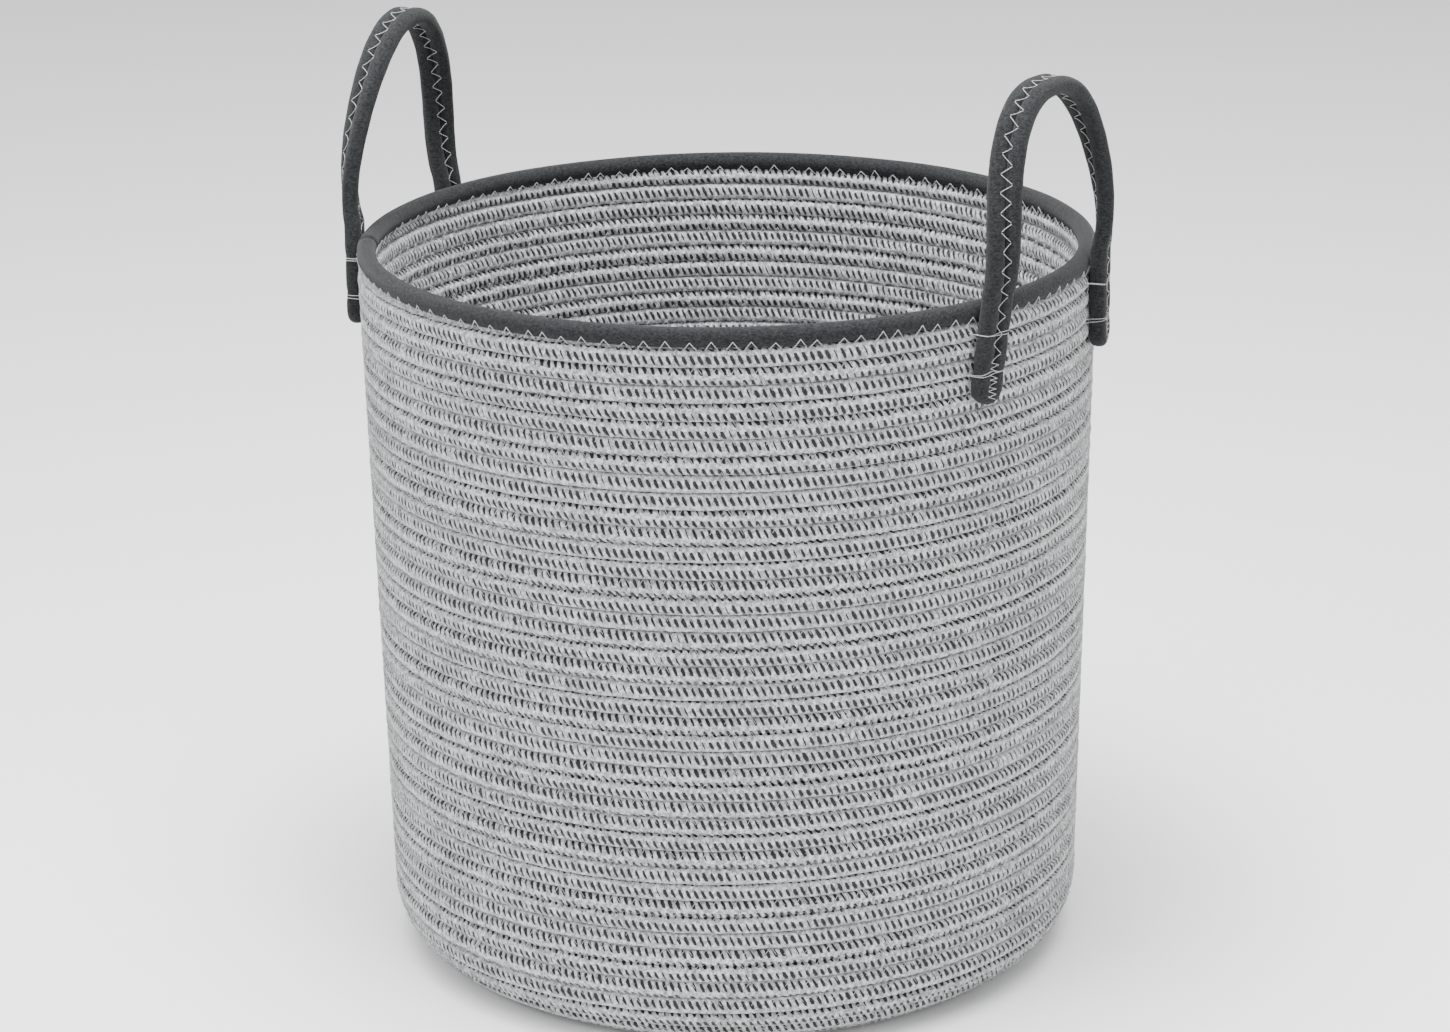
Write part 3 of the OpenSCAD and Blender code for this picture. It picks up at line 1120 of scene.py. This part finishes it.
    def tack_threads(self) -> Surface:
        """Builds the hand tacks: thread over the pair's skin, along a course, into the wall."""
        loops = []
        rng = np.random.default_rng(TACK_SEED + int(self.side is Side.LEFT))
        half = self.step / 2 + self.radius
        over = np.linspace(-0.965, 0.965, 29) * half
        groove = np.where(np.abs(over) < self.aside, 0.78 * self.radius, 0.0)
        lift = np.maximum(0.9 * self.skin(np.abs(over) - self.aside), groove) + 0.1 * MM
        tail = half + np.array([0.3, 0.9, 1.8, 2.2]) * MM
        fall = np.array([0.0, -0.6, -0.97, -1.3]) * self.radius
        w = np.concatenate([-tail[::-1], over, tail])
        lift = np.concatenate([fall[::-1], lift, fall])
        for sign in (-1.0, 1.0):
            for tack in self.tacks:
                for ply in (-0.5, 0.5):
                    tilt, wander, phase = rng.normal(0.0, (0.5, 0.35, 1.5))
                    down = tack + self.hinge_up - w * math.tan(self.splay) + ply * self.ply_gap
                    down = down + MM * (tilt * w / half + wander * np.sin(3.5 * w / half + phase))
                    f = self.foot(sign, down)
                    loops.append(f["centre"] + w[:, None] * f["width"]
                                 + lift[:, None] * f["facing"])
        return thread_along(np.array(loops), self.thread, 6)

    def turned(self, surface: Surface) -> Surface:
        """Turns a surface from the handle's own axes to its side of the basket."""
        angle = -self.shift if self.side is Side.RIGHT else math.pi + self.shift
        c, s = math.cos(angle), math.sin(angle)
        spin = np.array([[c, s, 0.0], [-s, c, 0.0], [0.0, 0.0, 1.0]])
        surface.points = surface.points @ spin
        return surface

    def build(self) -> list[Object]:
        """Builds and dresses the handle's pieces, puts its hand tacks on the basket's body, and
        returns them.
        """
        name, body = self.side.value, f"{self.side.value}_handle"
        cords = self.turned(self.cords()).to_object(f"{name}_handle_cord", self.finishes.cord)
        thread = self.turned(merged([self.zigzag(1.0), self.zigzag(-1.0)]))
        stitches = thread.to_object(f"{name}_handle_zigzag", self.finishes.thread)
        for piece, slot in ((cords, "felted_cord"), (stitches, "thread")):
            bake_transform(piece)
        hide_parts(*(f"{name}_{part}" for part in (
            "handle_inner_cord", "handle_outer_cord", "handle_bends", "front_end", "rear_end")))
        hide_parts(f"{name}_handle_stitching", f"{name}_end_stitching")
        loops = self.turned(self.tack_threads())
        tacks = loops.to_object(f"{name}_hand_tacks", self.finishes.thread)
        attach(tacks, BASKET)
        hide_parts(f"{name}_end_tacks")
        return [cords, stitches, tacks]


# ---- the basket


@dataclass
class Basket:
    """The coiled base and wall, their seams and the rim."""

    finishes: Finishes
    line: CourseLine

    def __post_init__(self) -> None:
        """Works out the rope's run once, for the rope and for its seams."""
        self.coil = Coil(self.line)

    def rope_work(self) -> list[Object]:
        """Builds the rope of the base and of the wall."""
        rope = KnittedRope(self.coil, self.finishes.rope)
        edge = self.coil.length_at(self.line.edge_middle)
        made = []
        for name, low, high in (("base", 0.0, edge), ("wall", edge, self.coil.length)):
            bands = rope.pieces(f"{name}_rope", low, high)
            for band in bands:
                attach(band, BASKET)
            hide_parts(f"{name}_rope_cover", f"{name}_rope_core")
            made += bands
        return made

    def seams(self) -> list[Object]:
        """Builds the zigzag thread of every seam."""
        stitches = SeamStitches(self.coil, self.finishes.thread)
        edge, pitch = self.line.edge_middle, self.line.pitch
        made = []
        for name, low, high in (("base", 3 * pitch, edge),
                                ("wall", edge, self.line.length - pitch)):
            both = merged([stitches.surface(low, high, face) for face in (1.0, -1.0)])
            both.points[:, 2] = np.maximum(both.points[:, 2], 0.2 * MM)
            piece = both.to_object(f"{name}_seams", self.finishes.thread)
            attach(piece, BASKET)
            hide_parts(f"{name}_stitching")
            made.append(piece)
        return made

    def rim(self) -> list[Object]:
        """Builds the rim cord and its zigzag thread."""
        rim = RimCord(self.line, self.finishes)
        cord = rim.cord().to_object("rim_cord", self.finishes.cord)
        thread = merged([rim.zigzag(1.0), rim.zigzag(-1.0)])
        stitches = thread.to_object("rim_zigzag", self.finishes.thread)
        for piece, slot in ((cord, "felted_cord"), (stitches, "thread")):
            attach(piece, BASKET)
        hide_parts("rim_cord_sleeve", "rim_cord_filler")
        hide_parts("rim_stitching")
        return [cord, stitches]


# ---- studio


@dataclass
class Studio:
    """The camera, the floor and the soft light."""

    azimuth: float = math.radians(27.5)
    elevation: float = math.radians(18.2)
    roll: float = math.radians(-0.77)
    distance: float = 1.996
    aim: tuple[float, float] = (-2.9 * MM, 226.0 * MM)
    lens: float = 93.94758620689655
    sensor: float = 36.0
    floor_half: float = 6.0
    floor_lines: int = 9
    floor_drop: float = 0.2 * MM
    lit_height: float = 0.2
    surround: float = 0.72

    def camera(self) -> Object:
        """Makes the scene's camera: a long lens, turned round the basket and rolled a little."""
        a, e, r = self.azimuth, self.elevation, self.roll
        right = Vector((math.cos(a), math.sin(a), 0.0))
        back = Vector((math.sin(a) * math.cos(e), -math.cos(a) * math.cos(e), math.sin(e)))
        up = back.cross(right)
        right, up = math.cos(r) * right + math.sin(r) * up, math.cos(r) * up - math.sin(r) * right
        data = bpy.data.cameras.new("camera")
        data.sensor_width = self.sensor
        data.lens = self.lens
        camera = bpy.data.objects.new("camera", data)
        bpy.context.collection.objects.link(camera)
        aside, height = self.aim
        aimed = Vector((math.cos(a) * aside, math.sin(a) * aside, height))
        turn = Matrix((right, up, back)).transposed().to_4x4()
        camera.matrix_world = Matrix.Translation(aimed + back * self.distance) @ turn
        bpy.context.scene.camera = camera
        return camera

    def floor(self) -> Object:
        """Makes the floor: a wide sheet, z a hair under the basket."""
        steps = np.linspace(-self.floor_half, self.floor_half, self.floor_lines)
        x, y = np.meshgrid(steps, steps, indexing="ij")
        points = np.stack([x, y, np.full_like(x, -self.floor_drop)], -1).reshape(-1, 3)
        i = np.arange(x.size).reshape(x.shape)
        quads = np.stack([i[:-1, :-1], i[1:, :-1], i[1:, 1:], i[:-1, 1:]], -1).reshape(-1, 4)
        floor = Surface(points, [quads]).to_object("floor", StudioPaper().material())
        return floor

    def light(self, name: str, place: tuple[float, float, float], size: float,
              power: float) -> None:
        """Makes one square soft light, aimed at the middle of the basket.

        Args:
            name: the light's name.
            place: where it stands.
            size: its width.
            power: its watts.
        """
        data = bpy.data.lights.new(name, "AREA")
        data.size, data.energy = size, power
        light = bpy.data.objects.new(name, data)
        light.location = place
        heading = Vector((0, 0, self.lit_height)) - Vector(place)
        light.rotation_euler = heading.to_track_quat("-Z", "Y").to_euler()
        bpy.context.collection.objects.link(light)

    def lights(self) -> None:
        """Makes the lights and a pale surround.

        One broad light is overhead, one is each side of the camera and a small one fills
        the inside.
        """
        for name, place, size, power in (("overhead", (0.1, -0.3, 2.6), 2.4, 150.0),
                                         ("left_front", (-1.0, -2.6, 1.9), 1.8, 52.0),
                                         ("right_front", (2.7, -1.4, 1.5), 1.8, 34.0),
                                         ("over_the_mouth", (0.0, -0.12, 1.3), 0.35, 15.0)):
            self.light(name, place, size, power)
        world = bpy.data.worlds.new("surround")
        world.use_nodes = True
        background = world.node_tree.nodes["Background"].inputs
        background["Color"].default_value = grey(1.0)
        background["Strength"].default_value = self.surround
        bpy.context.scene.world = world


def corners(box: tuple[Vector, Vector]) -> list[list[float]]:
    """Returns a box's two corners as plain lists."""
    return [list(box[0]), list(box[1])]


def main() -> None:
    """Builds the studio and then each part of the basket, and notes each piece."""
    logging.basicConfig(level=logging.INFO, format="%(message)s")
    studio = Studio()
    studio.camera()
    studio.floor()
    studio.lights()
    low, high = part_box("rim_cord_sleeve")
    line = CourseLine(top_radius=high.x, height=high.z, rim_cord=high.z - low.z)
    finishes = Finishes()
    basket = Basket(finishes, line)
    pieces = basket.rope_work() + basket.seams() + basket.rim()
    right = Handle(Side.RIGHT, line, finishes, rise=94.5 * MM, fullness=2.4, apex_in=4.5 * MM)
    left = Handle(Side.LEFT, line, finishes, rise=99.5 * MM, fullness=2.05,
                  apex_along=-8.0 * MM, apex_in=2.0 * MM)
    pieces += right.build() + left.build()
    for piece in pieces:
        log.info("%s: %d faces", piece.name, len(piece.data.polygons))


if __name__ == "__main__":
    main()
